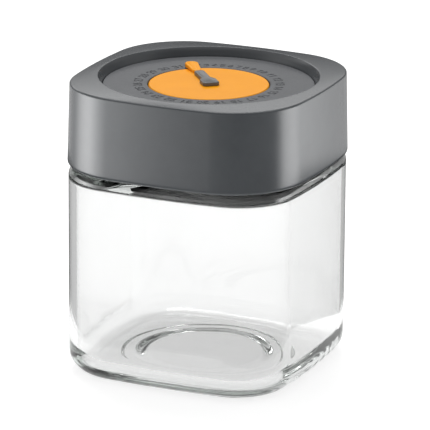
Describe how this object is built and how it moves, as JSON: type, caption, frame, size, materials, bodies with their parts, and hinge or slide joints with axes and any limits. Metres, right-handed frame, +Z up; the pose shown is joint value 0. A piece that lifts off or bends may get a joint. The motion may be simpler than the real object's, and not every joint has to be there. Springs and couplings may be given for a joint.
{
  "type": "lidded glass canister",
  "caption": "Soft-square clear glass jar with a grey push-in lid whose round recess holds an orange dial disc and a small grey pointer.",
  "frame": {"origin": "middle of the jar's standing face", "axes": "+Z up through the jar and the dial's pivot; the jar's flat sides face +X, -X, +Y and -Y; both pointers stand at 130 degrees from +X, counter-clockwise from above"},
  "size_m": [0.1016, 0.1017, 0.1194],
  "materials": {
    "soda_lime_glass": "clear, fire-polished",
    "grey_cover": "semi-gloss moulded",
    "grey_dial": "fine spark texture",
    "orange_plastic": "satin moulded",
    "grey_hand": "satin moulded",
    "white_nylon": "natural",
    "steel": "bright",
    "grey_plug": "moulded",
    "silicone": "satin"
  },
  "bodies": {
    "jar": {"glass_jar": "soda_lime_glass"},
    "lid": {"lid_cover": "grey_cover", "dial_plate": "grey_dial", "disc_washer": "white_nylon", "lid_plug": "grey_plug", "lid_seal": "silicone"},
    "day_dial": {"day_disc": "orange_plastic", "disc_retainer": "steel"},
    "month_pointer": {"month_hand": "grey_hand", "hand_spindle": "steel", "hand_retainer": "steel"}
  },
  "joints": [
    {"name": "lid_lift", "type": "slide", "parent": "jar", "child": "lid", "axis": [0, 0, 1], "range_m": [0, 0.12]},
    {"name": "day_turn", "type": "hinge", "parent": "lid", "child": "day_dial", "pos_m": [0, 0, 0.115], "axis": [0, 0, 1], "continuous": true},
    {"name": "month_turn", "type": "hinge", "parent": "day_dial", "child": "month_pointer", "pos_m": [0, 0, 0.115], "axis": [0, 0, 1], "continuous": true}
  ]
}
